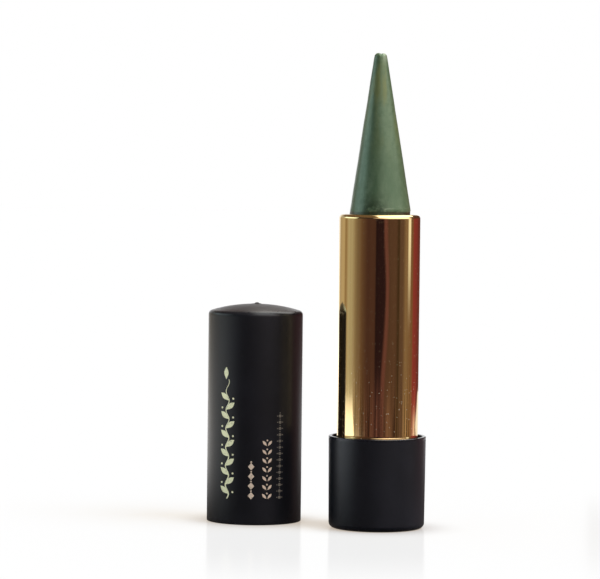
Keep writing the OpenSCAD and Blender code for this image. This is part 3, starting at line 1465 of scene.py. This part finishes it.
@dataclass(frozen=True)
class WhiteFloor:
    """The glossy white floor, of which gloss sees only a sheet round the set.

    The sheet's front edge stands at one distance on the left, one in the middle and one on the right.
    """

    lift: Colour
    paper: Colour
    radius: float = 6000.0
    left: Span = (-280, -268)
    right: Span = (160, 130)
    front: Triple = (-58, -5, 130)
    left_turn: Span = (-75, -45)
    right_turn: Span = (45, 75)
    edge_soft: float = 4.0
    hole_centre: Triple = (25, 0, 0)
    hole: tuple[float, ...] = (60, 140, 0.1, 1)
    flash_right: Span = (-35, -110)
    flash_left: Span = (-268, -190)
    # Painted contact shade: the reach, tint and fade of the floor's darkening near the pieces.
    contact_shade_reach: float = 7.0
    contact_shade_tint: Colour = (0.66, 0.61, 0.56)
    contact_shade_fade: Span = (0.45, 1)
    mirror_centre: Triple = (-8, 0, 0)
    mirror: tuple[float, ...] = (78, 30, 0, 0.13)
    mirror_roughness: float = 0.13

    def sheet(self, tree: NodeTree, x: Socket, y: Socket) -> Socket:
        """One where gloss sees the sheet, and zero beyond its edges.

        Args:
            tree: The material's tree.
            x: Object X, in millimetres.
            y: Object Y, in millimetres.

        Returns:
            The mask.
        """
        at_left, at_middle, at_right = self.front
        front = tree.math(
            "ADD", tree.spread(x, *self.left_turn, at_left, at_middle),
            tree.spread(x, *self.right_turn, 0, at_right - at_middle),
        )
        return tree.times(
            tree.spread(tree.math("SUBTRACT", y, front), -self.edge_soft, self.edge_soft),
            tree.spread(x, *self.left), tree.spread(x, *self.right),
            tree.spread(tree.length(tree.place(self.hole_centre)), *self.hole),
        )

    def material(self) -> bpy.types.Material:
        """Builds the floor's finish: matt paper that glows, with painted contact shade near the pieces, a
        faint mirror, and nothing past the sheet.

        Returns:
            The material.
        """
        material, tree = new_material("white_floor")
        x, y, _ = tree.axes(tree.place())
        gloss = tree.ray("Is Glossy Ray")
        seen_through = tree.times(tree.math("SUBTRACT", 1.0, self.sheet(tree, x, y)), gloss)
        # Painted contact shade: ambient occlusion darkens and warms the floor's glow near the pieces.
        occlusion = tree.add("AmbientOcclusion", {"Distance": self.contact_shade_reach * MM}, samples=8).outputs["AO"]
        shaded = tuple(part * shade for part, shade in zip(self.lift, self.contact_shade_tint))
        flash = tree.times(tree.spread(x, *self.flash_right), tree.spread(x, *self.flash_left), gloss)
        glow = tree.add("Emission", {
            "Color": tree.mix(tree.spread(occlusion, *self.contact_shade_fade), shaded, self.lift),
            "Strength": tree.math("ADD", tree.ray("Is Camera Ray", "Is Glossy Ray"), flash),
        })
        matt = tree.add("BsdfDiffuse", {"Color": self.paper})
        paper = tree.add("AddShader", {0: matt.outputs[0], 1: glow.outputs[0]})
        sheen = tree.add("BsdfGlossy", {"Roughness": self.mirror_roughness, "Color": (1, 1, 1)})
        near = tree.spread(tree.length(tree.place(self.mirror_centre)), *self.mirror)
        glossy = tree.add("MixShader", {0: near, 1: paper.outputs[0], 2: sheen.outputs[0]})
        clear = tree.add("BsdfTransparent")
        whole = tree.add("MixShader", {0: seen_through, 1: glossy.outputs[0], 2: clear.outputs[0]})
        tree.end("OutputMaterial", whole.outputs[0])
        return material

    def build(self) -> bpy.types.Object:
        """Lays the floor.

        Returns:
            The floor.
        """
        floor = finish_piece(disc(self.radius), "floor", self.material())
        return floor


@dataclass
class Studio:
    """Floor, screens, lights and camera."""

    camera_place: Vector = field(default_factory=lambda: Vector((-12.16, -440.78, 52.46)))
    camera_pitch: float = 2.059
    camera_roll: float = 0.622
    camera_lens: float = 171.9
    camera_sensor: float = 36.0
    paper: Colour = (0.052, 0.078, 0.12)
    soft_level: float = 0.4
    dusk: Colour = (0.25, 0.18, 0.14)
    dusk_rise: Span = (0.12, 0.5)

    def drum(self) -> Drum:
        """The surround, from the left round the front to the right.

        Returns:
            The drum.
        """
        screens = (
            Band("left_sheet", -150, -119, (0.5, 0.42, 0.3)),
            Band("left_gap", -113, -108, (0.27, 0.2, 0.12)),
            Band("left_window", -97, -84, (0.46, 0.43, 0.34)),
            Band("left_khaki", -72, -70, (0.25, 0.2, 0.145)),
            Band("left_brown", -52, -50, (0.12, 0.072, 0.05)),
            Band("front_brown", -36, -13, (0.07, 0.035, 0.031)),
            Band("front_dark", -10, 9, (0.019, 0.009, 0.013)),
            Band("front_rust", 14, 19, (0.155, 0.064, 0.066)),
            Band("front_olive", 24, 48, (0.092, 0.052, 0.041)),
            Band("front_line", 53, 56, (0.058, 0.036, 0.022)),
            Band("right_olive", 60, 70, (0.108, 0.067, 0.053)),
            Band("right_gold", 80, 84, (0.21, 0.145, 0.095)),
            Band("right_edge", 100, 107, (0.18, 0.1, 0.06)),
            Band("right_red", 112, 131, (0.25, 0.047, 0.05)),
            Band("right_dark", 142, 161, (0.13, 0.036, 0.034)),
            Band("right_end", 166, 168, (0.3, 0.25, 0.22)),
        )
        windows = (
            Band("left_far", -150, -124, (0.24, 0.24, 0.22)),
            Band("left_sky", -112, -76, (0.9, 1.07, 1.04)),
            Band("front_ceiling", -66, -22, (0.02, 0.016, 0.014)),
            Band("front_window", 25, 88, (1.08, 0.93, 0.83)),
            Band("right_ceiling", 104, 168, (0.05, 0.025, 0.02)),
        )
        return Drum(screens, windows, Band("strip", 88, 98, (1.0, 1.0, 0.95)))

    def lids(self) -> list[Lid]:
        """The screens over and under the set."""
        return [
            Lid("ceiling", 330, 430, (0.16, 0.11, 0.075), (2.6, 2.5, 2.3), -50),
            Lid("under_floor", -3, 155, (0.045, 0.036, 0.032), (0.045, 0.036, 0.032), 100),
        ]

    def lamps(self) -> list[Lamp]:
        """The soft lights: the key from the right and the fill from the left."""
        return [
            Lamp("key", 66, 57, 6.8, 36, (1.0, 0.97, 0.9)),
            Lamp("fill", -98, 28, 1.7, 90, (0.72, 1.0, 1.04)),
        ]

    def floor(self) -> WhiteFloor:
        """The floor, with the glow that brings its paper under the lamps up to plain white.

        Returns:
            The floor.
        """
        light = [self.soft_level] * 3
        for lamp in self.lamps():
            share = lamp.strength * math.sin(math.radians(lamp.elevation)) / math.pi
            light = [total + share * part for total, part in zip(light, lamp.colour)]
        return WhiteFloor(tuple(1.0 - total * part for total, part in zip(light, self.paper)), self.paper)

    def world(self) -> None:
        """Sets a white surround for the camera and for gloss, and a soft level for the rest."""
        world = bpy.data.worlds.new("surround")
        world.use_nodes = True
        tree = NodeTree(world.node_tree)
        seen = tree.ray("Is Camera Ray", "Is Glossy Ray", "Is Transmission Ray")
        upward = tree.axes(tree.add("TexCoord").outputs["Generated"])[2]
        dusk = tree.times(tree.spread(upward, *self.dusk_rise), tree.ray("Is Glossy Ray"))
        back = tree.add("Background", {
            "Color": tree.mix(dusk, (1, 1, 1), self.dusk),
            "Strength": tree.spread(seen, 0, 1, self.soft_level, 1),
        })
        tree.end("OutputWorld", back.outputs[0])
        bpy.context.scene.world = world

    def camera(self) -> bpy.types.Object:
        """Sets up the camera of the photograph's view.

        Returns:
            The camera.
        """
        data = bpy.data.cameras.new("camera")
        data.lens, data.sensor_width = self.camera_lens, self.camera_sensor
        camera = bpy.data.objects.new("camera", data)
        turned = Euler((math.radians(90 - self.camera_pitch), 0, 0)).to_matrix()
        turned = turned @ Matrix.Rotation(math.radians(self.camera_roll), 3, "Z")
        camera.matrix_world = Matrix.Translation(self.camera_place * MM) @ turned.to_4x4()
        bpy.context.scene.collection.objects.link(camera)
        bpy.context.scene.camera = camera
        return camera

    def build(self) -> None:
        """Builds the whole studio and sets the plain view transform."""
        self.camera()
        self.world()
        for prop in (self.floor(), self.drum(), *self.lids(), *self.lamps()):
            prop.build()
        bpy.context.scene.view_settings.view_transform = "Standard"


def main() -> None:
    """Builds the studio and every piece of the kohl stick, in order."""
    logging.basicConfig(level=logging.INFO, format="%(name)s: %(message)s")
    Studio().build()
    for part in (BaseShell(), GoldShell(), KohlStick(), CapShell(), FoilOrnament(), Mechanism()):
        for piece in part.build():
            LOG.info("%s: %s, %d faces", type(part).__name__, piece.name, len(piece.data.polygons))


if __name__ == "__main__":
    main()
